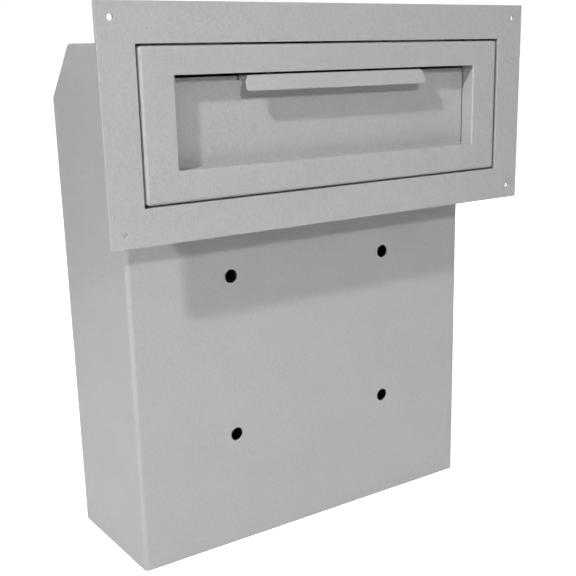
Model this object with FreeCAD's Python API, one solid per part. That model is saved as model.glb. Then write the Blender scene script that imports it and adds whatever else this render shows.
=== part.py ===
import FreeCAD, Part
import math
import os

# A through-the-wall deposit box of bent sheet steel.
# +X is to the right seen from the front, +Y runs inwards, +Z is up.
# The origin is the middle of the footprint, on the plane the box stands on.

# --- driving dimensions, mm ---------------------------------------------------------------

SHEET = 1.5             # 16 gauge: box, chute, hopper
HEAVY_SHEET = 1.9       # 14 gauge: hopper tray
BEND = 2.75             # bend radius at the middle of the sheet, box corners
TIGHT_BEND = 1.5        # bend radius at the middle of the sheet, flanges

PLATE_WIDTH = 387.0
PLATE_HEIGHT = 163.5
PLATE_THICKNESS = 2.66  # 12 gauge
PLATE_TOP = 435.3       # height of the trim plate's top edge
PLATE_CORNER = 0.8
CUTOUT_WIDTH = 333.4
CUTOUT_HEIGHT = 109.6
SCREW_SPACING_X = 366.0
SCREW_SPACING_Z = 142.3
SCREW_HOLE = 4.8        # diameter

BOX_WIDTH = 329.0
BOX_HEIGHT = 408.0
BOX_DEPTH = 119.2
WALL_GAP = 41.1         # room for the wall, from the trim plate to the box
SLOPE_DEPTH = 41.0      # sloping part of the top, measured inwards
SLOPE_HEIGHT = 43.5
SLOPE_BEND = 7.5        # bend radius at the middle of the sheet
TOP_ROUND = 0.9         # rounding of the edges welded to the sides
BOTTOM_ROUND = 1.2
BOLT_SPACING_X = 152.4
BOLT_SPACING_Z = 133.35
BOLT_HOLE = 11.1        # diameter
BOLTS_CENTRE = 163.0    # height of the bolt pattern's centre

CHUTE_FLANGE = 13.0
CHUTE_LAP = 18.0        # how far the chute's roof lies on the box
OPENING_SIDE = 145.0    # opening in the box's front, behind the chute
OPENING_MARGIN = 10.7   # from the box's top to the opening

FACE_WIDTH = 330.1
FACE_SIDE_BEND = 3.0    # outside radius of the face's edges
FACE_RETURN = 12.0      # depth of the face's edges
FACE_TOP_GAP = 1.3
FACE_BOTTOM_GAP = 1.1

WINDOW_WIDTH = 277.0
WINDOW_HEIGHT = 65.0
WINDOW_BELOW_PLATE_TOP = 48.3
RECESS = 13.0           # depth of the window's sides

WINDOW_BEND = 1.5       # outside radius of the window's bends
PULL_PROUD = 2.9        # how far the pull stands out of the trim plate
PULL_LIP_WIDTH = 167.0
PULL_LIP_HEIGHT = 11.1
PULL_LIP_CORNER = 2.0
PULL_LIP_BEVEL = 4.2    # height of the slanted upper corners
PULL_BEND = 0.2         # middle of the bend from tongue to lip, behind the trim plate's front
PULL_TOP_GAP = 1.6      # from the window's top to the lip
PULL_TONGUE_WIDTH = 161.6
TONGUE_ROOT = 12.0      # height of the tongue that is flat in the panel
RELIEF_WIDTH = 1.6      # slits beside the tongue
RELIEF_DEPTH = 3.0
PANEL_SIDE_GAP = 0.6
PANEL_TOP_GAP = 2.4
PANEL_FOOT = 9.0        # depth of the panel's flange under the window

HOPPER_TRAVEL = 42.0    # degrees
EAR_LOW = 58.0          # stop ears, above the pivot when the hopper is open
EAR_HIGH = 76.0
EAR_OVERLAP = 5.0       # ear's reach behind the box's front
EAR_RELIEF = 8.0
WING_BELOW_TRAY = 2.5
TRAY_BELOW_WINDOW = 4.2
TRAY_FLANGE = 14.0
PIVOT_DEPTH = 6.5       # behind the trim plate's front
PIVOT_ABOVE_FACE = 11.0
PIN_RADIUS = 2.4
WING_RADIUS = 92.0
TRAY_DEPTH = 95.0
TRAY_SLOPE = 14.0       # degrees
TRAY_LIP = 15.0

FRAME_FLANGE = 15.5     # flanges round the rear opening
DOOR_GAP = 1.6
DOOR_SHEET = 1.2        # 18 gauge
DOOR_CORNER = 2.0
STOP_LAP = 7.5          # how far the door stop shows in the doorway
STOP_SEAT = 9.0         # how far it lies on the flanges
STOP_FROM_HINGE = 16.0
STIFFENER_LINE = ((-24.0, 0.0), (-12.0, 0.0), (-9.0, -10.0), (9.0, -10.0), (12.0, 0.0), (24.0, 0.0))
STIFFENER_MARGIN = 22.0

HINGE_KNUCKLES = 9
HINGE_RADIUS = 2.3
HINGE_PIN_RADIUS = 1.2
HINGE_LEAF = 1.0
HINGE_MARGIN = 12.0     # door's end to hinge's end
HINGE_LEAF_WIDTH = 11.5 # from the edge of the door or doorway
KNUCKLE_GAP = 0.5
RIVET_SHANK = 1.6       # radius
RIVET_HEAD = 2.7        # radius
RIVET_TAIL = 2.4        # radius
RIVET_HEAD_HEIGHT = 1.0
RIVET_TAIL_HEIGHT = 0.9
RIVET_EDGE = 7.5        # from the edge of the door or doorway
RIVET_COUNT = 5
RIVET_MARGIN = 18.0     # hinge's end to first rivet

LOCK_X = 122.0
LOCK_Z = 200.0
LOCK_BARREL = 9.4       # radius of the threaded body
LOCK_FLAT = 8.0         # half width across its two flats
LOCK_HEAD = 11.0        # radius
LOCK_HEAD_HEIGHT = 2.2
LOCK_PLUG = 6.2         # radius
LOCK_PLUG_HEIGHT = 2.7
LOCK_STUB = 4.6         # radius
LOCK_LENGTH = 15.0
KEYWAY = (0.7, 3.6)     # half width and half height
KEYWAY_SIDE = (1.5, 1.2)
KEYWAY_DEPTH = 8.0
NUT_ACROSS = 24.0
NUT_THICKNESS = 3.0
CAM_THICKNESS = 2.0
CAM_REACH = 38.0
CAM_HALF_WIDTH = 6.5
CAM_HUB = 8.0           # radius
CAM_SQUARE = 3.0        # half width
CAM_SCREW = 5.2         # radius of its head
CAM_SCREW_HEIGHT = 2.4
CAM_SCREW_SLOT = (2.6, 0.5)
CAM_SCREW_SLOT_DEPTH = 1.2
STRIKE_GAP = 0.9
STRIKE_HEIGHT = 30.0
STRIKE_FOOT = 20.0

BUSH_RADIUS = 3.4
BUSH_FLANGE = 1.0       # thickness
BUSH_FLANGE_RADIUS = 4.8
CLIP_THICKNESS = 0.8
BUMPER_DEPTH = 31.0     # behind the trim plate's front
BUMPER_PLACES = (-95.0, 95.0)
BUMPER_BASE = 6.0       # radius
BUMPER_TIP = 4.2        # radius
BUMPER_STEM = 2.5       # radius
BUMPER_BARB = 0.8       # how far the barb stands out round the stem
BUMPER_BARB_HEIGHT = 3.0

RUNNING = 0.05          # radial clearance of a shaft that turns
MOVING = 0.3            # clearance of faces that pass or meet each other
REST_GAP = 0.1          # clearance between the bumpers and the tray
PAST = 9.0              # how far a cutter runs past what it cuts

# --- places worked out from them ----------------------------------------------------------

FRONT = -(WALL_GAP + PLATE_THICKNESS + BOX_DEPTH + 2 * HINGE_RADIUS - PULL_PROUD) / 2
PLATE_BACK = FRONT + PLATE_THICKNESS
BOX_FRONT = PLATE_BACK + WALL_GAP
BOX_BACK = BOX_FRONT + BOX_DEPTH
BOX_SIDE = BOX_WIDTH / 2

PLATE_BOTTOM = PLATE_TOP - PLATE_HEIGHT
PLATE_CENTRE = PLATE_TOP - PLATE_HEIGHT / 2
CUTOUT_SIDE = CUTOUT_WIDTH / 2
CUTOUT_TOP = BOX_HEIGHT
CUTOUT_BOTTOM = CUTOUT_TOP - CUTOUT_HEIGHT

FACE_SIDE = FACE_WIDTH / 2
FACE_TOP = CUTOUT_TOP - FACE_TOP_GAP
FACE_BOTTOM = CUTOUT_BOTTOM + FACE_BOTTOM_GAP
FACE_INSIDE = FRONT + SHEET
WINDOW_SIDE = WINDOW_WIDTH / 2
WINDOW_TOP = PLATE_TOP - WINDOW_BELOW_PLATE_TOP
WINDOW_BOTTOM = WINDOW_TOP - WINDOW_HEIGHT
PANEL_SIDE = WINDOW_SIDE - PANEL_SIDE_GAP
PANEL_FRONT = FRONT + RECESS
PANEL_BACK = PANEL_FRONT + SHEET
PANEL_TOP = WINDOW_TOP - PANEL_TOP_GAP
WING_SIDE = WINDOW_SIDE + SHEET

PIVOT_Y = FRONT + PIVOT_DEPTH
PIVOT_Z = FACE_BOTTOM + PIVOT_ABOVE_FACE

CHUTE_SIDE = CUTOUT_SIDE + SHEET

OPENING_TOP = BOX_HEIGHT - OPENING_MARGIN
OPENING_BOTTOM = CUTOUT_BOTTOM

DOORWAY_SIDE = BOX_SIDE - FRAME_FLANGE
DOORWAY_TOP = BOX_HEIGHT - SLOPE_HEIGHT - FRAME_FLANGE
DOORWAY_BOTTOM = FRAME_FLANGE + SHEET
DOOR_SIDE = DOORWAY_SIDE - DOOR_GAP
DOOR_TOP = DOORWAY_TOP - DOOR_GAP
DOOR_BOTTOM = DOORWAY_BOTTOM + DOOR_GAP
DOOR_INSIDE = BOX_BACK - DOOR_SHEET
HINGE_X = -(DOORWAY_SIDE + DOOR_SIDE) / 2
HINGE_Y = BOX_BACK + HINGE_RADIUS
HINGE_BOTTOM = DOOR_BOTTOM + HINGE_MARGIN
HINGE_TOP = DOOR_TOP - HINGE_MARGIN
RIVET_FRAME_X = DOORWAY_SIDE + RIVET_EDGE
RIVET_DOOR_X = DOOR_SIDE - RIVET_EDGE
RIVET_PITCH = (HINGE_TOP - HINGE_BOTTOM - 2 * RIVET_MARGIN) / (RIVET_COUNT - 1)
RIVET_LEVELS = [HINGE_BOTTOM + RIVET_MARGIN + RIVET_PITCH * index for index in range(RIVET_COUNT)]

CAM_REAR = BOX_BACK - LOCK_LENGTH - MOVING
CLIP_INSIDE = FACE_SIDE - SHEET - BUSH_FLANGE - MOVING - CLIP_THICKNESS
BUMPER_Y = FRONT + BUMPER_DEPTH


# --- shape helpers ------------------------------------------------------------------------

def block(x, y, z):
    """Box between the two values given for each axis."""
    corner = FreeCAD.Vector(min(x), min(y), min(z))
    return Part.makeBox(abs(x[1] - x[0]), abs(y[1] - y[0]), abs(z[1] - z[0]), corner)


def rod(radius, start, end):
    """Cylinder from start to end."""
    start = FreeCAD.Vector(*start)
    run = FreeCAD.Vector(*end) - start
    return Part.makeCylinder(radius, run.Length, start, run)


def cone(radius_start, radius_end, start, end):
    start = FreeCAD.Vector(*start)
    run = FreeCAD.Vector(*end) - start
    return Part.makeCone(radius_start, radius_end, run.Length, start, run)


def fuse(shapes):
    whole = shapes[0]
    for shape in shapes[1:]:
        whole = whole.fuse(shape)
    return whole.removeSplitter()


def cut(shape, tools):
    for tool in tools:
        shape = shape.cut(tool)
    return shape


def mirrored(shape):
    """The same piece on the other side of the box."""
    return shape.mirror(FreeCAD.Vector(0, 0, 0), FreeCAD.Vector(1, 0, 0))


def rounded(shape, radius, wanted):
    """Fillet the edges for which wanted(edge) is true."""
    edges = [edge for edge in shape.Edges if wanted(edge)]
    return shape.makeFillet(radius, edges)


def runs_along(edge, axis):
    box = edge.BoundBox
    spans = {"x": box.XLength, "y": box.YLength, "z": box.ZLength}
    span = spans.pop(axis)
    return span > 1e-6 and max(spans.values()) < 1e-6


def at(value, target):
    return abs(value - target) < 1e-3


def in_space(point, axis, level):
    """Point of a profile as a point in space, on the plane at that level of the axis."""
    a, b = point
    if axis == "x":
        return FreeCAD.Vector(level, a, b)
    if axis == "y":
        return FreeCAD.Vector(a, level, b)
    return FreeCAD.Vector(a, b, level)


def along(axis, length):
    return in_space((0, 0), axis, length)


def prism(points, axis, low, high):
    """Straight-sided profile, extruded along the axis from low to high."""
    corners = [in_space(point, axis, low) for point in points]
    face = Part.Face(Part.makePolygon(corners + corners[:1]))
    return face.extrude(along(axis, high - low))


def strip_side(points, radius, offset):
    """Points and arcs of a bent line's parallel at offset, positive to the left."""
    start, end = points[0], points[-1]
    headings = [math.atan2(q[1] - p[1], q[0] - p[0]) for p, q in zip(points, points[1:])]

    def beside(point, heading):
        return (point[0] - offset * math.sin(heading), point[1] + offset * math.cos(heading))

    trail = [[beside(start, headings[0])]]
    for corner, before, after in zip(points[1:-1], headings, headings[1:]):
        turn = math.remainder(after - before, 2 * math.pi)
        setback = radius * math.tan(abs(turn) / 2)
        entry = (corner[0] - setback * math.cos(before), corner[1] - setback * math.sin(before))
        leave = (corner[0] + setback * math.cos(after), corner[1] + setback * math.sin(after))
        side = math.copysign(1, turn)
        centre = (entry[0] - side * radius * math.sin(before), entry[1] + side * radius * math.cos(before))
        middle = (before + after - math.remainder(after - before - turn, 4 * math.pi)) / 2
        reach = radius - side * offset
        crest = (centre[0] + side * reach * math.sin(middle), centre[1] - side * reach * math.cos(middle))
        trail.append([beside(entry, before), crest, beside(leave, after)])
    trail.append([beside(end, headings[-1])])
    return trail


def bent_sheet(points, thickness, radius, axis, low, high):
    """Sheet whose middle follows a line with rounded corners, extruded along the axis."""
    left = strip_side(points, radius, thickness / 2)
    right = strip_side(points, radius, -thickness / 2)
    trail = left + [stop[::-1] for stop in reversed(right)]
    edges = []
    for stop, following in zip(trail, trail[1:] + trail[:1]):
        if len(stop) == 3:
            edges.append(Part.Arc(*[in_space(point, axis, low) for point in stop]).toShape())
        leg = [in_space(stop[-1], axis, low), in_space(following[0], axis, low)]
        edges.append(Part.LineSegment(*leg).toShape())
    face = Part.Face(Part.Wire(edges))
    return face.extrude(along(axis, high - low))


def turned_about_pivot(shape, degrees):
    """Turn about the hopper's pivot, positive as the hopper opens."""
    shape = shape.copy()
    shape.rotate(FreeCAD.Vector(0, PIVOT_Y, PIVOT_Z), FreeCAD.Vector(1, 0, 0), degrees)
    return shape


def hole_grid(centre_z, spacing_x, spacing_z, diameter, start_y, end_y):
    """Four cutters on a rectangle, running inwards."""
    cutters = []
    for side in (-1, 1):
        for level in (-1, 1):
            x = side * spacing_x / 2
            z = centre_z + level * spacing_z / 2
            cutters.append(rod(diameter / 2, (x, start_y, z), (x, end_y, z)))
    return cutters


# --- trim plate and chute -----------------------------------------------------------------

def trim_plate():
    plate = block((-PLATE_WIDTH / 2, PLATE_WIDTH / 2), (FRONT, PLATE_BACK), (PLATE_BOTTOM, PLATE_TOP))
    plate = rounded(plate, PLATE_CORNER, lambda edge: runs_along(edge, "y"))
    cutout = block((-CUTOUT_SIDE, CUTOUT_SIDE), (FRONT - 1, PLATE_BACK + 1), (CUTOUT_BOTTOM, CUTOUT_TOP))
    screws = hole_grid(PLATE_CENTRE, SCREW_SPACING_X, SCREW_SPACING_Z, SCREW_HOLE, FRONT - 1, PLATE_BACK + 1)
    plate = cut(plate, [cutout] + screws)
    return rounded(plate, 0.3, lambda edge: at(edge.BoundBox.YMax, FRONT))


def chute_roof():
    """Roof with a flange up behind the trim plate, lapping over the top of the box."""
    flange_y = PLATE_BACK + SHEET / 2
    level = CUTOUT_TOP + SHEET / 2
    line = [(flange_y, level + CHUTE_FLANGE), (flange_y, level), (BOX_FRONT + CHUTE_LAP, level)]
    return bent_sheet(line, SHEET, TIGHT_BEND, "x", -CHUTE_SIDE, CHUTE_SIDE)


def chute_floor():
    """Floor with flanges down behind the trim plate and on the front of the box."""
    front_y = PLATE_BACK + SHEET / 2
    rear_y = BOX_FRONT - SHEET / 2
    level = CUTOUT_BOTTOM - SHEET / 2
    low = level - CHUTE_FLANGE
    line = [(front_y, low), (front_y, level), (rear_y, level), (rear_y, low)]
    floor = bent_sheet(line, SHEET, TIGHT_BEND, "x", -CHUTE_SIDE, CHUTE_SIDE)
    stems = [rod(BUMPER_STEM, (x, BUMPER_Y, level - 2), (x, BUMPER_Y, level + 2)) for x in BUMPER_PLACES]
    return cut(floor, stems)


def chute_side():
    """Right-hand wall, with a flange outwards behind the plate and inwards on the box."""
    front_y = PLATE_BACK + SHEET / 2
    rear_y = BOX_FRONT - SHEET / 2
    x = CUTOUT_SIDE + SHEET / 2
    line = [(x + CHUTE_FLANGE, front_y), (x, front_y), (x, rear_y), (OPENING_SIDE + SHEET, rear_y)]
    wall = bent_sheet(line, SHEET, TIGHT_BEND, "z", CUTOUT_BOTTOM, CUTOUT_TOP)
    pin_hole = rod(PIN_RADIUS, (x - 2, PIVOT_Y, PIVOT_Z), (CHUTE_SIDE, PIVOT_Y, PIVOT_Z))
    return wall.cut(pin_hole)


# --- box ----------------------------------------------------------------------------------

def top_line():
    """Middle of the top sheet: level, down the slope, then the flange over the doorway."""
    half = SHEET / 2
    slope_start = BOX_BACK - SLOPE_DEPTH
    lean = math.atan2(SLOPE_HEIGHT, SLOPE_DEPTH)
    inset = half * math.tan(lean / 2)
    inset_low = half * math.tan((math.pi / 2 - lean) / 2)
    return [
        (BOX_FRONT, BOX_HEIGHT - half),
        (slope_start - inset, BOX_HEIGHT - half),
        (BOX_BACK - half, BOX_HEIGHT - SLOPE_HEIGHT - inset_low),
        (BOX_BACK - half, DOORWAY_TOP),
    ]


def plain_box_top():
    return bent_sheet(top_line(), SHEET, SLOPE_BEND, "x", -BOX_SIDE, BOX_SIDE)


def plain_box_bottom():
    line = [(BOX_FRONT, SHEET / 2), (BOX_BACK - SHEET / 2, SHEET / 2), (BOX_BACK - SHEET / 2, DOORWAY_BOTTOM)]
    return bent_sheet(line, SHEET, BEND, "x", -BOX_SIDE, BOX_SIDE)


def with_front_corners(shape):
    """Round a horizontal sheet's front corners as the box's front bends are."""
    return rounded(shape, BEND + SHEET / 2,
                   lambda edge: runs_along(edge, "z") and at(edge.BoundBox.YMax, BOX_FRONT))


def with_rear_corners(shape):
    """Trim a sheet's rear corners to the round of the box's rear bends."""
    envelope = block((-BOX_SIDE, BOX_SIDE), (BOX_FRONT - PAST, BOX_BACK), (-PAST, BOX_HEIGHT + PAST))
    envelope = rounded(envelope, BEND + SHEET / 2,
                       lambda edge: runs_along(edge, "z") and at(edge.BoundBox.YMax, BOX_BACK))
    return shape.common(envelope)


def box_top():
    slope_start = BOX_BACK - SLOPE_DEPTH
    top = rounded(with_front_corners(plain_box_top()), TOP_ROUND,
                  lambda edge: at(edge.BoundBox.ZMin, BOX_HEIGHT) and edge.BoundBox.YMin < slope_start - PAST)
    return with_rear_corners(top)


def box_bottom():
    bottom = rounded(with_front_corners(plain_box_bottom()), BOTTOM_ROUND,
                     lambda edge: at(edge.BoundBox.ZMax, 0) and edge.BoundBox.YMax < BOX_BACK - 1)
    return with_rear_corners(bottom)


def box_body():
    """Front and sides as one bent sheet, with flanges beside the doorway at the back."""
    x = BOX_SIDE - SHEET / 2
    front = BOX_FRONT + SHEET / 2
    back = BOX_BACK - SHEET / 2
    line = [(-DOORWAY_SIDE, back), (-x, back), (-x, front), (x, front), (x, back), (DOORWAY_SIDE, back)]
    body = bent_sheet(line, SHEET, BEND, "z", 0, BOX_HEIGHT)
    slope = top_line()[:3]
    beyond = BOX_BACK + PAST
    above = BOX_HEIGHT + PAST
    ahead = BOX_FRONT - PAST
    sky = [(beyond, slope[-1][1]), (beyond, above), (ahead, above), (ahead, BOX_HEIGHT - SHEET)]
    whole_width = (-BOX_SIDE - PAST, BOX_SIDE + PAST)
    over_top = prism(slope + sky, "x", *whole_width)
    through_front = (ahead, BOX_FRONT + PAST)
    opening = block((-OPENING_SIDE, OPENING_SIDE), through_front, (OPENING_BOTTOM, OPENING_TOP))
    bolts = hole_grid(BOLTS_CENTRE, BOLT_SPACING_X, BOLT_SPACING_Z, BOLT_HOLE, *through_front)
    level_cut = block(whole_width, through_front, (BOX_HEIGHT - SHEET, above))
    foot_cut = block(whole_width, (ahead, BOX_BACK - PAST), (-PAST, SHEET))
    tools = [over_top, plain_box_top(), plain_box_bottom(), opening, level_cut, foot_cut]
    return largest(cut(body, tools + bolts + rivet_holes(-RIVET_FRAME_X)))


def largest(shape):
    return max(shape.Solids, key=lambda solid: solid.Volume)


def rivet_holes(x):
    """Cutters for one row of rivets through the back."""
    return [rod(RIVET_SHANK, (x, BOX_BACK - PAST, z), (x, BOX_BACK + PAST, z)) for z in RIVET_LEVELS]


def door_stop_frame():
    """Flat strip behind three sides of the doorway, which the door closes against."""
    rear = BOX_BACK - SHEET
    depth = (rear - SHEET, rear)
    outer_side = DOORWAY_SIDE + STOP_SEAT
    low = (DOORWAY_BOTTOM - STOP_SEAT, DOORWAY_BOTTOM + STOP_LAP)
    high = (DOORWAY_TOP - STOP_LAP, DOORWAY_TOP + STOP_SEAT)
    upright = block((DOORWAY_SIDE - STOP_LAP, outer_side), depth, (low[0], high[1]))
    rails = [block((STOP_FROM_HINGE - DOORWAY_SIDE, outer_side), depth, level) for level in (low, high)]
    return fuse([upright] + rails)


def lock_strike():
    """Angle on the box's side that the lock's cam turns behind."""
    inside = BOX_SIDE - SHEET
    y = CAM_REAR + STRIKE_GAP + SHEET / 2
    line = [(inside - SHEET / 2, y - STRIKE_FOOT), (inside - SHEET / 2, y), (DOORWAY_SIDE, y)]
    return bent_sheet(line, SHEET, TIGHT_BEND, "z",
                      LOCK_Z - STRIKE_HEIGHT / 2, LOCK_Z + STRIKE_HEIGHT / 2)


# --- hopper -------------------------------------------------------------------------------

def pan(side, top, bottom, front, back, radius, corner):
    """Block whose front edges are rounded."""
    shape = block((-side, side), (front, back), (bottom, top))
    shape = rounded(shape, corner, lambda edge: runs_along(edge, "y"))
    return rounded(shape, radius, lambda edge: at(edge.BoundBox.YMax, front))


def hopper_face():
    back = FRONT + FACE_RETURN
    outer = pan(FACE_SIDE, FACE_TOP, FACE_BOTTOM, FRONT, back, FACE_SIDE_BEND, FACE_SIDE_BEND + 0.2)
    inner = pan(FACE_SIDE - SHEET, FACE_TOP - SHEET, FACE_BOTTOM + SHEET, FACE_INSIDE, back + PAST,
                FACE_SIDE_BEND - SHEET, FACE_SIDE_BEND - SHEET + 0.2)
    shell = outer.cut(inner)
    sleeve = block((-WING_SIDE, WING_SIDE), (FRONT + SHEET / 2, PANEL_FRONT),
                   (WINDOW_BOTTOM - SHEET, WINDOW_TOP))
    window = block((-WINDOW_SIDE, WINDOW_SIDE), (FRONT - PAST, PANEL_FRONT + PAST),
                   (WINDOW_BOTTOM, WINDOW_TOP))
    shell = shell.fuse(sleeve).cut(window).removeSplitter()
    shell = rounded(shell, WINDOW_BEND, is_window_bend)
    beyond = FACE_SIDE + PAST
    bushes = rod(BUSH_RADIUS, (-beyond, PIVOT_Y, PIVOT_Z), (beyond, PIVOT_Y, PIVOT_Z))
    bush = pivot_bush()
    return cut(shell, [bushes, bush, mirrored(bush), pull_panel()])


def is_window_bend(edge):
    """Front edges of the window at its sides and bottom."""
    box = edge.BoundBox
    if not at(box.YMax, FRONT):
        return False
    beside = runs_along(edge, "z") and at(abs(box.XMin), WINDOW_SIDE)
    below = runs_along(edge, "x") and at(box.ZMin, WINDOW_BOTTOM)
    return beside or below


def pull_panel():
    """Back of the window, bent forwards at the top into the pull's tongue and lip."""
    foot_z = WINDOW_BOTTOM - SHEET * 1.5
    middle = PANEL_FRONT + SHEET / 2
    foot = [(PANEL_FRONT - PANEL_FOOT, foot_z), (middle, foot_z), (middle, PANEL_TOP)]
    panel = bent_sheet(foot, SHEET, TIGHT_BEND, "x", -PANEL_SIDE, PANEL_SIDE)
    lip_top = WINDOW_TOP - PULL_TOP_GAP - SHEET / 2
    lip_foot = (FRONT - PULL_PROUD + SHEET / 2, WINDOW_TOP - PULL_TOP_GAP - PULL_LIP_HEIGHT)
    bend = (FRONT + PULL_BEND, lip_top)
    root = [(middle, PANEL_TOP - TONGUE_ROOT), (middle, lip_top)]
    tongue_side = PULL_TONGUE_WIDTH / 2
    tongue = bent_sheet(root + [bend, lip_foot], SHEET, TIGHT_BEND, "x", -tongue_side, tongue_side)
    lip_side = PULL_LIP_WIDTH / 2
    lip_start = (bend[0] + SHEET, lip_top)
    lip = bent_sheet([lip_start, bend, lip_foot], SHEET, TIGHT_BEND, "x", -lip_side, lip_side)
    lip = cut(lip, [corner(side) for corner in (upper_corner, lower_corner) for side in (-1, 1)])
    slot_side = tongue_side + RELIEF_WIDTH
    slot = block((-slot_side, slot_side), (PANEL_FRONT - 1, PANEL_BACK + 1),
                 (PANEL_TOP - RELIEF_DEPTH, PANEL_TOP + 1))
    return fuse([panel.cut(slot), tongue, lip])


def upper_corner(side):
    """Cutter for the slanted upper corner of the pull's lip."""
    top = WINDOW_TOP - PULL_TOP_GAP
    inner = PULL_TONGUE_WIDTH / 2
    outer = PULL_LIP_WIDTH / 2
    beyond = outer + PAST
    outline = [(outer, top - PULL_LIP_BEVEL), (beyond, top - PULL_LIP_BEVEL),
               (beyond, top + PAST), (inner, top + PAST), (inner, top - SHEET / 3)]
    return prism([(side * x, z) for x, z in outline], "y", FRONT - PAST, FRONT + PAST)


def lower_corner(side):
    """Cutter that rounds a lower corner of the pull's lip."""
    radius = PULL_LIP_CORNER
    x = side * (PULL_LIP_WIDTH / 2 - radius)
    z = WINDOW_TOP - PULL_TOP_GAP - PULL_LIP_HEIGHT + radius
    depth = (FRONT - PAST, FRONT + PAST)
    square = block((x, x + side * (radius + 1)), depth, (z - radius - 1, z))
    keep = rod(radius, (x, depth[0] - 1, z), (x, depth[1] + 1, z))
    return square.cut(keep)


def tray_line():
    """Middle of the tray: flange on the pull panel, slope, and stiffening lip."""
    y = PANEL_BACK + HEAVY_SHEET / 2
    start_z = WINDOW_BOTTOM - TRAY_BELOW_WINDOW
    rear_z = start_z - TRAY_DEPTH * math.tan(math.radians(TRAY_SLOPE))
    rear_y = y + TRAY_DEPTH
    return [(y, start_z + TRAY_FLANGE), (y, start_z), (rear_y, rear_z), (rear_y, rear_z - TRAY_LIP)]


def hopper_tray():
    return bent_sheet(tray_line(), HEAVY_SHEET, TIGHT_BEND + 0.5, "x", -WING_SIDE, WING_SIDE)


def under_tray(y):
    """Height of the tray's underside at y."""
    start = tray_line()[1]
    slope = math.radians(TRAY_SLOPE)
    return start[1] - (y - start[0]) * math.tan(slope) - HEAVY_SHEET / 2 / math.cos(slope)


def hopper_wing():
    """Right-hand quadrant, with an ear that meets the box's front when the hopper is open."""
    x = (WING_SIDE, WING_SIDE + SHEET)
    front = FACE_INSIDE + SHEET
    disc = rod(WING_RADIUS, (x[0], PIVOT_Y, PIVOT_Z), (x[1], PIVOT_Y, PIVOT_Z))
    far = PIVOT_Y + 2 * WING_RADIUS
    high = PIVOT_Z + 2 * WING_RADIUS
    foot = [(y, under_tray(y) - WING_BELOW_TRAY) for y in (front, far)]
    wing = disc.common(prism(foot + [(far, high), (front, high)], "x", x[0] - 1, x[1] + 1))
    ear_y = BOX_FRONT + SHEET + MOVING
    levels = (PIVOT_Z + EAR_LOW, PIVOT_Z + EAR_HIGH)
    ear = block((x[0] + SHEET / 2, OPENING_SIDE + EAR_OVERLAP), (ear_y, ear_y + SHEET), levels)
    slot = block((x[0] - 1, x[1] + 1), (ear_y + SHEET, ear_y + SHEET + EAR_RELIEF), levels)
    ear = turned_about_pivot(ear, -HOPPER_TRAVEL)
    slot = turned_about_pivot(slot, -HOPPER_TRAVEL)
    return wing.cut(slot).fuse(ear)


def pivot_pin():
    """Right-hand pin, welded flush in the chute's side and reaching in through the bush."""
    y, z = PIVOT_Y, PIVOT_Z
    end = CLIP_INSIDE - 1.0
    pin = rod(PIN_RADIUS, (end, y, z), (CHUTE_SIDE, y, z))
    return rounded(pin, 0.4, lambda edge: at(edge.BoundBox.XMax, end))


def pivot_clip():
    """Right-hand clip on the pin's end, inside the face."""
    y, z = PIVOT_Y, PIVOT_Z
    ring = rod(BUSH_FLANGE_RADIUS, (CLIP_INSIDE, y, z), (CLIP_INSIDE + CLIP_THICKNESS, y, z))
    return ring.cut(rod(PIN_RADIUS, (CLIP_INSIDE - 1, y, z), (CLIP_INSIDE + 3, y, z)))


def pivot_bush():
    """Right-hand bush in the face's edge, with its flange inside."""
    y, z = PIVOT_Y, PIVOT_Z
    inside = FACE_SIDE - SHEET
    sleeve = rod(BUSH_RADIUS, (inside, y, z), (FACE_SIDE, y, z))
    flange = rod(BUSH_FLANGE_RADIUS, (inside - BUSH_FLANGE, y, z), (inside, y, z))
    bore = rod(PIN_RADIUS + RUNNING, (inside - 3, y, z), (FACE_SIDE + 1, y, z))
    return fuse([sleeve, flange]).cut(bore)


def hopper_bumper(x):
    """Rubber rest on the chute's floor, pushed into a hole."""
    floor_top = CUTOUT_BOTTOM
    top = under_tray(BUMPER_Y + BUMPER_TIP) - REST_GAP
    stem_low = floor_top - SHEET
    rest = cone(BUMPER_BASE, BUMPER_TIP, (x, BUMPER_Y, floor_top), (x, BUMPER_Y, top))
    stem = rod(BUMPER_STEM, (x, BUMPER_Y, stem_low), (x, BUMPER_Y, floor_top))
    barb = cone(BUMPER_STEM + BUMPER_BARB, BUMPER_STEM - BUMPER_BARB,
                (x, BUMPER_Y, stem_low), (x, BUMPER_Y, stem_low - BUMPER_BARB_HEIGHT))
    return fuse([rest, stem, barb])


# --- rear door ----------------------------------------------------------------------------

def rear_door():
    door = block((-DOOR_SIDE, DOOR_SIDE), (DOOR_INSIDE, BOX_BACK), (DOOR_BOTTOM, DOOR_TOP))
    door = rounded(door, DOOR_CORNER, lambda edge: runs_along(edge, "y"))
    door = rounded(door, 0.4, lambda edge: at(edge.BoundBox.YMin, BOX_BACK))
    return cut(door, rivet_holes(-RIVET_DOOR_X) + [lock_thread(BOX_BACK - PAST, BOX_BACK + PAST)])


def door_stiffener():
    """Upright channel with feet, on the inside of the door."""
    foot = DOOR_INSIDE - DOOR_SHEET / 2
    line = [(x, foot + y) for x, y in STIFFENER_LINE]
    return bent_sheet(line, DOOR_SHEET, TIGHT_BEND, "z",
                      DOOR_BOTTOM + STIFFENER_MARGIN, DOOR_TOP - STIFFENER_MARGIN)


def knuckles(first):
    """Every second knuckle of the hinge, as low and high ends."""
    pitch = (HINGE_TOP - HINGE_BOTTOM) / HINGE_KNUCKLES
    ends = []
    for index in range(first, HINGE_KNUCKLES, 2):
        low = HINGE_BOTTOM + pitch * index
        ends.append((low + KNUCKLE_GAP / 2, low + pitch - KNUCKLE_GAP / 2))
    return ends


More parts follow.
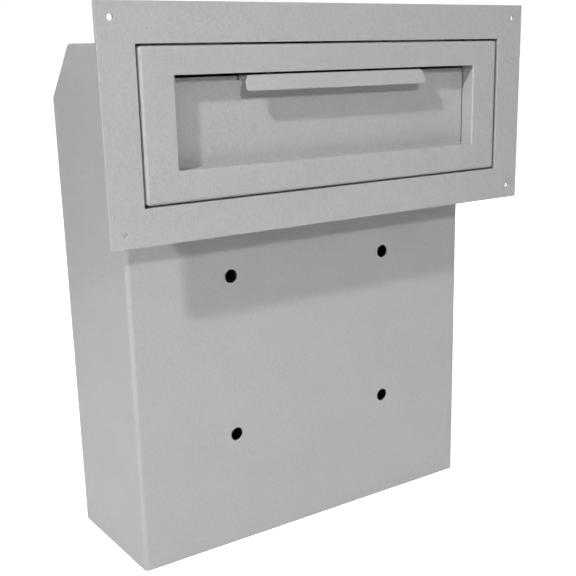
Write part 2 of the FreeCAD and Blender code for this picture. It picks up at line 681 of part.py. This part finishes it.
def hinge_leaf(first, edge_x, rivet_x, bore_radius):
    """Leaf from edge_x to the hinge's axis, with every second knuckle."""
    side = math.copysign(1, edge_x - HINGE_X)
    clear_x = HINGE_X + side * (HINGE_RADIUS + MOVING)
    depth = (BOX_BACK, BOX_BACK + HINGE_LEAF)
    leaf = block((edge_x, clear_x), depth, (HINGE_BOTTOM, HINGE_TOP))
    parts = [leaf]
    for low, high in knuckles(first):
        parts.append(block((clear_x, HINGE_X), depth, (low, high)))
        parts.append(rod(HINGE_RADIUS, (HINGE_X, HINGE_Y, low), (HINGE_X, HINGE_Y, high)))
    bore = rod(bore_radius, (HINGE_X, HINGE_Y, HINGE_BOTTOM - 1), (HINGE_X, HINGE_Y, HINGE_TOP + 1))
    return cut(fuse(parts), rivet_holes(rivet_x) + [bore])


def hinge_leaf_frame():
    return hinge_leaf(0, -DOORWAY_SIDE - HINGE_LEAF_WIDTH, -RIVET_FRAME_X, HINGE_PIN_RADIUS)


def hinge_leaf_door():
    return hinge_leaf(1, HINGE_LEAF_WIDTH - DOOR_SIDE, -RIVET_DOOR_X, HINGE_PIN_RADIUS + RUNNING)


def hinge_pin():
    over = HINGE_PIN_RADIUS / 2
    pin = rod(HINGE_PIN_RADIUS, (HINGE_X, HINGE_Y, HINGE_BOTTOM - over), (HINGE_X, HINGE_Y, HINGE_TOP + over))
    return rounded(pin, 0.3, lambda edge: edge.BoundBox.ZLength < 1e-6)


def hinge_rivets(x, inside):
    """Row of rivets: domed head on the leaf, shank, and set tail inside."""
    head_y = BOX_BACK + HINGE_LEAF
    top_y = head_y + RIVET_HEAD_HEIGHT
    rivets = []
    for z in RIVET_LEVELS:
        head = rod(RIVET_HEAD, (x, head_y, z), (x, top_y, z))
        head = rounded(head, RIVET_HEAD_HEIGHT * 0.8, lambda edge: at(edge.BoundBox.YMin, top_y))
        shank = rod(RIVET_SHANK, (x, inside, z), (x, head_y, z))
        tail = rod(RIVET_TAIL, (x, inside - RIVET_TAIL_HEIGHT, z), (x, inside, z))
        rivets.append(fuse([head, shank, tail]))
    return Part.makeCompound(rivets)


def lock_thread(start, end):
    """Barrel of the lock with its two flats."""
    barrel = rod(LOCK_BARREL, (LOCK_X, start, LOCK_Z), (LOCK_X, end, LOCK_Z))
    slab = block((LOCK_X - LOCK_BARREL - 1, LOCK_X + LOCK_BARREL + 1), (start - 1, end + 1),
                 (LOCK_Z - LOCK_FLAT, LOCK_Z + LOCK_FLAT))
    return barrel.common(slab)


def lock_housing():
    inner = BOX_BACK - LOCK_LENGTH
    face = BOX_BACK + LOCK_HEAD_HEIGHT
    head = rod(LOCK_HEAD, (LOCK_X, BOX_BACK, LOCK_Z), (LOCK_X, face, LOCK_Z))
    head = rounded(head, 1.0, lambda edge: at(edge.BoundBox.YMin, face))
    bore = rod(LOCK_PLUG + RUNNING, (LOCK_X, inner - PAST, LOCK_Z), (LOCK_X, face + PAST, LOCK_Z))
    return fuse([head, lock_thread(inner, BOX_BACK)]).cut(bore)


def lock_nut():
    """Hexagonal nut that clamps the lock to the door."""
    reach = NUT_ACROSS / 2 / math.cos(math.pi / 6)
    turns = [math.pi / 3 * index for index in range(6)]
    corners = [(LOCK_X + reach * math.cos(turn), LOCK_Z + reach * math.sin(turn)) for turn in turns]
    nut = prism(corners, "y", DOOR_INSIDE - NUT_THICKNESS, DOOR_INSIDE)
    return nut.cut(lock_thread(DOOR_INSIDE - PAST, DOOR_INSIDE + PAST))


def lock_plug():
    """Plug with a keyway in front and a square for the cam behind."""
    inner = BOX_BACK - LOCK_LENGTH
    face = BOX_BACK + LOCK_PLUG_HEIGHT
    plug = rod(LOCK_PLUG, (LOCK_X, inner, LOCK_Z), (LOCK_X, face, LOCK_Z))
    plug = rounded(plug, 0.4, lambda edge: at(edge.BoundBox.YMin, face))
    depth = (face - KEYWAY_DEPTH, face + 1)
    width, height = KEYWAY
    side_width, side_height = KEYWAY_SIDE
    keyway = block((LOCK_X - width, LOCK_X + width), depth, (LOCK_Z - height, LOCK_Z + height))
    groove = block((LOCK_X - side_width, LOCK_X), depth, (LOCK_Z - side_height, LOCK_Z + side_height))
    stub = rod(LOCK_STUB, (LOCK_X, inner - MOVING, LOCK_Z), (LOCK_X, inner, LOCK_Z))
    square = cam_square(CAM_REAR - CAM_THICKNESS, CAM_REAR)
    return fuse([cut(plug, [keyway, groove]), stub, square])


def cam_square(start, end):
    return block((LOCK_X - CAM_SQUARE, LOCK_X + CAM_SQUARE), (start, end),
                 (LOCK_Z - CAM_SQUARE, LOCK_Z + CAM_SQUARE))


def lock_cam():
    """Flat arm on the plug's square, hanging down when the lock is open."""
    depth = (CAM_REAR - CAM_THICKNESS, CAM_REAR)
    foot = LOCK_Z - CAM_REACH
    disc = rod(CAM_HUB, (LOCK_X, depth[0], LOCK_Z), (LOCK_X, depth[1], LOCK_Z))
    arm = block((LOCK_X - CAM_HALF_WIDTH, LOCK_X + CAM_HALF_WIDTH), depth, (foot, LOCK_Z))
    arm = rounded(arm, CAM_HALF_WIDTH / 2,
                  lambda edge: runs_along(edge, "y") and at(edge.BoundBox.ZMin, foot))
    return fuse([disc, arm]).cut(cam_square(depth[0] - 1, depth[1] + 1))


def lock_cam_screw():
    """Screw head that holds the cam on the plug."""
    seat = CAM_REAR - CAM_THICKNESS
    top = seat - CAM_SCREW_HEIGHT
    head = rod(CAM_SCREW, (LOCK_X, top, LOCK_Z), (LOCK_X, seat, LOCK_Z))
    head = rounded(head, 0.8, lambda edge: at(edge.BoundBox.YMax, top))
    long, short = CAM_SCREW_SLOT
    slots = [block((LOCK_X - a, LOCK_X + a), (top - 1, top + CAM_SCREW_SLOT_DEPTH), (LOCK_Z - b, LOCK_Z + b))
             for a, b in ((long, short), (short, long))]
    return cut(head, slots)


# --- assembly -----------------------------------------------------------------------------

def both_sides(piece):
    return Part.makeCompound([piece, mirrored(piece)])


def parts():
    side = chute_side()
    wing = hopper_wing()
    return {
        "trim_plate": trim_plate(),
        "chute_roof": chute_roof(),
        "chute_floor": chute_floor(),
        "chute_side_left": mirrored(side),
        "chute_side_right": side,
        "box_body": box_body(),
        "box_top": box_top(),
        "box_bottom": box_bottom(),
        "door_stop_frame": door_stop_frame(),
        "lock_strike": lock_strike(),
        "hopper_face": hopper_face(),
        "pull_panel": pull_panel(),
        "hopper_tray": hopper_tray(),
        "hopper_wing_left": mirrored(wing),
        "hopper_wing_right": wing,
        "pivot_pins": both_sides(pivot_pin()),
        "pivot_clips": both_sides(pivot_clip()),
        "pivot_bushes": both_sides(pivot_bush()),
        "hopper_bumpers": Part.makeCompound([hopper_bumper(x) for x in BUMPER_PLACES]),
        "rear_door": rear_door(),
        "door_stiffener": door_stiffener(),
        "hinge_leaf_frame": hinge_leaf_frame(),
        "hinge_leaf_door": hinge_leaf_door(),
        "hinge_pin": hinge_pin(),
        "hinge_rivets_frame": hinge_rivets(-RIVET_FRAME_X, BOX_BACK - SHEET),
        "hinge_rivets_door": hinge_rivets(-RIVET_DOOR_X, DOOR_INSIDE),
        "lock_housing": lock_housing(),
        "lock_nut": lock_nut(),
        "lock_plug": lock_plug(),
        "lock_cam": lock_cam(),
        "lock_cam_screw": lock_cam_screw(),
    }


os.makedirs("parts", exist_ok=True)
for node, shape in parts().items():
    shape.exportStep("parts/" + node + ".step")
    print(node, len(shape.Solids), shape.isValid(), round(shape.Volume), shape.BoundBox)
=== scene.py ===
import math
import bpy
from mathutils import Matrix, Vector

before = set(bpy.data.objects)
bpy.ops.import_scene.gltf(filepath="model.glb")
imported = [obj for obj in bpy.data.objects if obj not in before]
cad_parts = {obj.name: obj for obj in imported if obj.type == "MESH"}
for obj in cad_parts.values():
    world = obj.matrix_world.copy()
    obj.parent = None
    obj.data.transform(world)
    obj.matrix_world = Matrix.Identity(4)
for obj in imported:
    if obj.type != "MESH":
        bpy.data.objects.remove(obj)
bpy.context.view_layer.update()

# Camera: place in metres and angles in degrees, with the focal length in picture widths
CAMERA_AT = (-0.4613, -0.7084, 0.4114)
CAMERA_YAW = 36.253
CAMERA_PITCH = 15.172
CAMERA_ROLL = 0.567
FOCAL_WIDTHS = 1.737587
SENSOR_MM = 36
SHIFT = (-0.0902, 0.0340)

# Lights: name, place, width in metres, power in watts. All point at LAMP_TARGET.
# The photograph's two are at the front. The rear lamp isn't in it, and lights the door in views from behind.
LAMP_TARGET = (0, -0.08, 0.30)
FRONT_LAMP = ("front_lamp", (-0.450, -1.522, 0.975), 0.12, 10.0)
SIDE_LAMP = ("side_lamp", (-1.574, -0.827, 1.510), 0.11, 32.7)
REAR_LAMP = ("rear_lamp", (1.15, 1.45, 1.15), 0.40, 13.0)

# Sky light: brightness near the horizon and overhead, and the sines of elevation between which it changes
HORIZON = 0.16
OVERHEAD = 0.43
HORIZON_TOP = 0.0
OVERHEAD_FROM = 0.5

# The floor and backdrop that the camera sees, and the table that throws light up at the object
# Nearer than 100 of the object's radii, which is as far as the views from other sides see
STAGE_RADIUS = 20
STAGE_SIDES = 96
DOME_STEP_DEG = 6
BACKDROP_GLOW = 1.0
FLOOR_RINGS = (0.5, 1.0, 2.0, 5.0, 10.0, STAGE_RADIUS)
FLOOR_COLOUR = 0.85
FLOOR_GLOW_FROM = 0.3
FLOOR_GLOW_TO = 1.5
FLOOR_NEAR_GLOW = 0.58
FLOOR_FAR_GLOW = 0.80
TABLE_RADIUS = 1.2
TABLE_DROP = 0.002
TABLE_GLOW = 0.135

# Materials: most of a noise lies in NOISE_SPAN. An edge starts and is full where the cosine between the
# rounded and the flat normal falls to EDGE_COSINES.
NOISE_SPAN = (0.3, 0.7)
EDGE_COSINES = (0.995, 0.85)
BEVEL_SAMPLES = 6
# Radius within which sharp edges get a painted highlight, a lighter coat colour
EDGE_HIGHLIGHT_RADIUS = 0.0011

# Powder coat: grain sizes and bump depths in metres
PEBBLE, SKIN, MOTTLE = 0.0016, 0.0048, 0.045
PEBBLE_DEPTH, SKIN_DEPTH = 0.00024, 0.00034
PEBBLE_SHARE = 0.75
# The third coat colour is a painted highlight, laid along sharp edges
COAT_DARK, COAT_LIGHT, COAT_EDGE_HIGHLIGHT = (0.362, 0.362, 0.363), (0.418, 0.418, 0.417), (0.50, 0.50, 0.50)


def camera_axes():
    """Right, down and forward directions of the camera."""
    yaw, pitch, roll = map(math.radians, (-CAMERA_YAW, CAMERA_PITCH, CAMERA_ROLL))
    forward = Vector((
        -math.sin(yaw) * math.cos(pitch),
        math.cos(yaw) * math.cos(pitch),
        -math.sin(pitch),
    ))
    level = Vector((math.cos(yaw), math.sin(yaw), 0))
    down = forward.cross(level)
    right = level * math.cos(roll) + down * math.sin(roll)
    return right, down * math.cos(roll) - level * math.sin(roll), forward


def add_camera():
    data = bpy.data.cameras.new("camera")
    data.sensor_width = SENSOR_MM
    data.lens = SENSOR_MM * FOCAL_WIDTHS
    data.shift_x, data.shift_y = SHIFT
    data.clip_start, data.clip_end = 0.01, 100
    camera = bpy.data.objects.new("camera", data)
    right, down, forward = camera_axes()
    turn = Matrix((right, -down, -forward)).transposed().to_4x4()
    camera.matrix_world = Matrix.Translation(CAMERA_AT) @ turn
    bpy.context.scene.collection.objects.link(camera)
    bpy.context.scene.camera = camera


def add_lamp(name, place, width, watts):
    data = bpy.data.lights.new(name, "AREA")
    data.shape = "DISK"
    data.size = width
    data.energy = watts
    lamp = bpy.data.objects.new(name, data)
    lamp.location = place
    back = Vector(place) - Vector(LAMP_TARGET)
    lamp.rotation_euler = back.to_track_quat("Z", "Y").to_euler()
    lamp.visible_camera = False
    bpy.context.scene.collection.objects.link(lamp)


class Nodes:
    """Short calls for a node tree."""

    def __init__(self, tree):
        self.tree = tree
        self.tree.nodes.clear()

    def add(self, kind, **settings):
        node = self.tree.nodes.new(kind)
        for name, value in settings.items():
            setattr(node, name, value)
        return node

    def set(self, node, **values):
        for name, value in values.items():
            socket = node.inputs[name.replace("_", " ")]
            if isinstance(value, bpy.types.NodeSocket):
                self.tree.links.new(value, socket)
            else:
                socket.default_value = value
        return node

    def join(self, a, b):
        self.tree.links.new(a, b)

    def math(self, operation, *values):
        node = self.add("ShaderNodeMath", operation=operation)
        for socket, value in zip(node.inputs, values):
            if isinstance(value, bpy.types.NodeSocket):
                self.join(value, socket)
            else:
                socket.default_value = value
        return node.outputs[0]

    def spread(self, value, low, high, to_low, to_high, smooth=False):
        """value in low..high carried to to_low..to_high."""
        kind = "SMOOTHSTEP" if smooth else "LINEAR"
        node = self.add("ShaderNodeMapRange", interpolation_type=kind)
        self.join(value, node.inputs["Value"])
        for name, number in zip(("From Min", "From Max", "To Min", "To Max"),
                                (low, high, to_low, to_high)):
            node.inputs[name].default_value = number
        return node.outputs["Result"]


def add_sky():
    world = bpy.data.worlds.new("sky")
    bpy.context.scene.world = world
    world.use_nodes = True
    n = Nodes(world.node_tree)
    place = n.add("ShaderNodeTexCoord").outputs["Generated"]
    split = n.add("ShaderNodeSeparateXYZ")
    n.join(place, split.inputs[0])
    glow = n.spread(split.outputs["Z"], HORIZON_TOP, OVERHEAD_FROM, HORIZON, OVERHEAD, smooth=True)
    background = n.add("ShaderNodeBackground")
    n.join(glow, background.inputs["Strength"])
    out = n.add("ShaderNodeOutputWorld")
    n.join(background.outputs[0], out.inputs["Surface"])


def stage_material(name, colour, near, far):
    """Matt white that glows, from near at the middle to far at the rim."""
    material = bpy.data.materials.new(name)
    material.use_nodes = True
    n = Nodes(material.node_tree)
    place = n.add("ShaderNodeTexCoord").outputs["Object"]
    distance = n.add("ShaderNodeVectorMath", operation="LENGTH")
    n.join(place, distance.inputs[0])
    shader = n.add("ShaderNodeBsdfPrincipled")
    n.set(shader, Base_Color=(colour, colour, colour, 1), Roughness=1.0)
    shader.inputs["Specular IOR Level"].default_value = 0
    shader.inputs["Emission Color"].default_value = (1, 1, 1, 1)
    glow = n.spread(distance.outputs["Value"], FLOOR_GLOW_FROM, FLOOR_GLOW_TO, near, far, smooth=True)
    n.join(glow, shader.inputs["Emission Strength"])
    out = n.add("ShaderNodeOutputMaterial")
    n.join(shader.outputs[0], out.inputs["Surface"])
    return material


def turned_sheet(name, profile, material):
    """Sheet swept round the Z axis; profile is (radius, height) from the middle out."""
    points = [(0, 0, profile[0][1])]
    for radius, height in profile[1:]:
        for i in range(STAGE_SIDES):
            turn = 2 * math.pi * i / STAGE_SIDES
            points.append((radius * math.cos(turn), radius * math.sin(turn), height))
    faces = [(0, 1 + i, 1 + (i + 1) % STAGE_SIDES) for i in range(STAGE_SIDES)]
    for ring in range(len(profile) - 2):
        start = 1 + ring * STAGE_SIDES
        after = start + STAGE_SIDES
        for i in range(STAGE_SIDES):
            j = (i + 1) % STAGE_SIDES
            faces.append((start + i, after + i, after + j, start + j))
    mesh = bpy.data.meshes.new(name)
    mesh.from_pydata(points, [], faces)
    sheet = bpy.data.objects.new(name, mesh)
    sheet.data.materials.append(material)
    bpy.context.scene.collection.objects.link(sheet)
    return sheet


def only_camera_sees(sheet):
    sheet.visible_diffuse = False
    sheet.visible_glossy = False
    sheet.visible_transmission = False
    sheet.visible_shadow = False


def add_stage():
    floor_white = stage_material("floor_white", FLOOR_COLOUR, FLOOR_NEAR_GLOW, FLOOR_FAR_GLOW)
    floor = turned_sheet("floor", [(0, 0)] + [(radius, 0) for radius in FLOOR_RINGS], floor_white)
    only_camera_sees(floor)
    backdrop_white = stage_material("backdrop_white", 0, BACKDROP_GLOW, BACKDROP_GLOW)
    angles = [math.radians(a) for a in range(90, -1, -DOME_STEP_DEG)]
    dome = [(STAGE_RADIUS * math.cos(a), STAGE_RADIUS * math.sin(a)) for a in angles]
    only_camera_sees(turned_sheet("backdrop", dome, backdrop_white))
    table_white = stage_material("table_white", FLOOR_COLOUR, TABLE_GLOW, TABLE_GLOW)
    table = turned_sheet("table", [(0, -TABLE_DROP), (TABLE_RADIUS, -TABLE_DROP)], table_white)
    table.visible_camera = False


def grain(n, place, size, detail=2.0, roughness=0.5):
    """Noise whose features are about size metres across."""
    node = n.add("ShaderNodeTexNoise")
    n.join(place, node.inputs["Vector"])
    n.set(node, Scale=1 / size, Detail=detail, Roughness=roughness)
    return node.outputs["Fac"]


def rounded_normal(n, radius):
    """Normal with the edges rounded to radius."""
    bevel = n.add("ShaderNodeBevel", samples=BEVEL_SAMPLES)
    bevel.inputs["Radius"].default_value = radius
    return bevel.outputs["Normal"]


def edge_mask(n, radius):
    """1 at sharp edges and 0 on flat faces."""
    flat = n.add("ShaderNodeNewGeometry")
    dot = n.add("ShaderNodeVectorMath", operation="DOT_PRODUCT")
    n.join(rounded_normal(n, radius), dot.inputs[0])
    n.join(flat.outputs["Normal"], dot.inputs[1])
    return n.spread(dot.outputs["Value"], *EDGE_COSINES, 0, 1)


def start_material(name):
    material = bpy.data.materials.new(name)
    material.use_nodes = True
    n = Nodes(material.node_tree)
    place = n.add("ShaderNodeTexCoord").outputs["Object"]
    shader = n.add("ShaderNodeBsdfPrincipled")
    out = n.add("ShaderNodeOutputMaterial")
    n.join(shader.outputs[0], out.inputs["Surface"])
    return material, n, place, shader


def blend_colours(n, amount, low, high):
    node = n.add("ShaderNodeMix", data_type="RGBA")
    n.join(amount, node.inputs["Factor"])
    colours = [s for s in node.inputs if s.type == "RGBA"]
    for socket, colour in zip(colours, (low, high)):
        if isinstance(colour, bpy.types.NodeSocket):
            n.join(colour, socket)
        else:
            socket.default_value = (*colour, 1)
    return [s for s in node.outputs if s.type == "RGBA"][0]


def relief(n, heights, radius):
    """Bump normal from (height socket, depth in metres) pairs, on edges rounded to radius."""
    normal = rounded_normal(n, radius)
    for height, depth in heights:
        bump = n.add("ShaderNodeBump")
        bump.inputs["Strength"].default_value = 1
        bump.inputs["Distance"].default_value = depth
        n.join(height, bump.inputs["Height"])
        n.join(normal, bump.inputs["Normal"])
        normal = bump.outputs["Normal"]
    return normal


def powder_coat():
    """Fine-textured grey powder coat: pebbled skin, with a painted highlight that lightens the sharp edges.
    """
    material, n, place, shader = start_material("powder_coat_grey")
    pebble = grain(n, place, PEBBLE, roughness=0.55)
    skin = grain(n, place, SKIN)
    mottle = grain(n, place, MOTTLE, detail=3.0)
    edge = edge_mask(n, EDGE_HIGHLIGHT_RADIUS)
    fine = n.math("MULTIPLY", pebble, PEBBLE_SHARE)
    broad = n.math("MULTIPLY", mottle, 1 - PEBBLE_SHARE)
    tone = n.spread(n.math("ADD", fine, broad), 0.32, 0.68, 0, 1)
    coat = blend_colours(n, tone, COAT_DARK, COAT_LIGHT)
    # Painted highlight: sharp edges lightened towards the third coat colour, broken up by the skin noise
    painted_edge_highlight = n.math("MULTIPLY", edge, n.spread(skin, 0.35, 0.6, 0.25, 0.75))
    n.join(blend_colours(n, painted_edge_highlight, coat, COAT_EDGE_HIGHLIGHT), shader.inputs["Base Color"])
    n.join(n.spread(pebble, *NOISE_SPAN, 0.40, 0.52), shader.inputs["Roughness"])
    shader.inputs["Specular IOR Level"].default_value = 0.5
    n.join(relief(n, ((pebble, PEBBLE_DEPTH), (skin, SKIN_DEPTH)), 0.0007), shader.inputs["Normal"])
    return material


def zinc_steel():
    """Zinc-plated sheet steel: cool, faintly clouded, with a drawn grain."""
    material, n, place, shader = start_material("zinc_plated_steel")
    cloud = grain(n, place, 0.012, 3.0, 0.6)
    fine = grain(n, place, 0.0009)
    colour = blend_colours(n, n.spread(cloud, *NOISE_SPAN, 0, 1), (0.44, 0.45, 0.47), (0.62, 0.63, 0.64))
    n.join(colour, shader.inputs["Base Color"])
    shader.inputs["Metallic"].default_value = 1
    n.join(n.spread(cloud, *NOISE_SPAN, 0.30, 0.46), shader.inputs["Roughness"])
    n.join(relief(n, ((fine, 0.00006),), 0.0003), shader.inputs["Normal"])
    return material


def nickel():
    """Satin nickel plate."""
    material, n, place, shader = start_material("satin_nickel")
    cloud = grain(n, place, 0.006)
    fine = grain(n, place, 0.0005)
    colour = blend_colours(n, n.spread(cloud, *NOISE_SPAN, 0, 1), (0.60, 0.58, 0.54), (0.74, 0.72, 0.68))
    n.join(colour, shader.inputs["Base Color"])
    shader.inputs["Metallic"].default_value = 1
    n.join(n.spread(fine, *NOISE_SPAN, 0.18, 0.30), shader.inputs["Roughness"])
    n.join(relief(n, ((fine, 0.00002),), 0.0003), shader.inputs["Normal"])
    return material


def nylon():
    """Natural moulded nylon."""
    material, n, place, shader = start_material("natural_nylon")
    cloud = grain(n, place, 0.008)
    colour = blend_colours(n, n.spread(cloud, *NOISE_SPAN, 0, 1), (0.70, 0.68, 0.61), (0.80, 0.78, 0.72))
    n.join(colour, shader.inputs["Base Color"])
    n.join(n.spread(cloud, *NOISE_SPAN, 0.38, 0.5), shader.inputs["Roughness"])
    n.join(relief(n, ((cloud, 0.00004),), 0.0003), shader.inputs["Normal"])
    return material


def rubber():
    """Black moulded rubber."""
    material, n, place, shader = start_material("black_rubber")
    fine = grain(n, place, 0.0012, 3.0, 0.6)
    colour = blend_colours(n, n.spread(fine, *NOISE_SPAN, 0, 1), (0.020, 0.020, 0.021), (0.042, 0.042, 0.043))
    n.join(colour, shader.inputs["Base Color"])
    n.join(n.spread(fine, *NOISE_SPAN, 0.62, 0.8), shader.inputs["Roughness"])
    n.join(relief(n, ((fine, 0.00012),), 0.0004), shader.inputs["Normal"])
    return material


MAKERS = {
    "powder_coat": powder_coat,
    "zinc_steel": zinc_steel,
    "nickel": nickel,
    "nylon": nylon,
    "rubber": rubber,
}


def finish_nodes():
    made = {slot: make() for slot, make in MAKERS.items()}
    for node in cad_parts.values():
        for socket in node.material_slots:
            socket.material = made[socket.material.name.split(".")[0]]


add_camera()
add_lamp(*FRONT_LAMP)
add_lamp(*SIDE_LAMP)
add_lamp(*REAR_LAMP)
add_sky()
add_stage()
finish_nodes()
bpy.context.scene.view_settings.view_transform = "Standard"
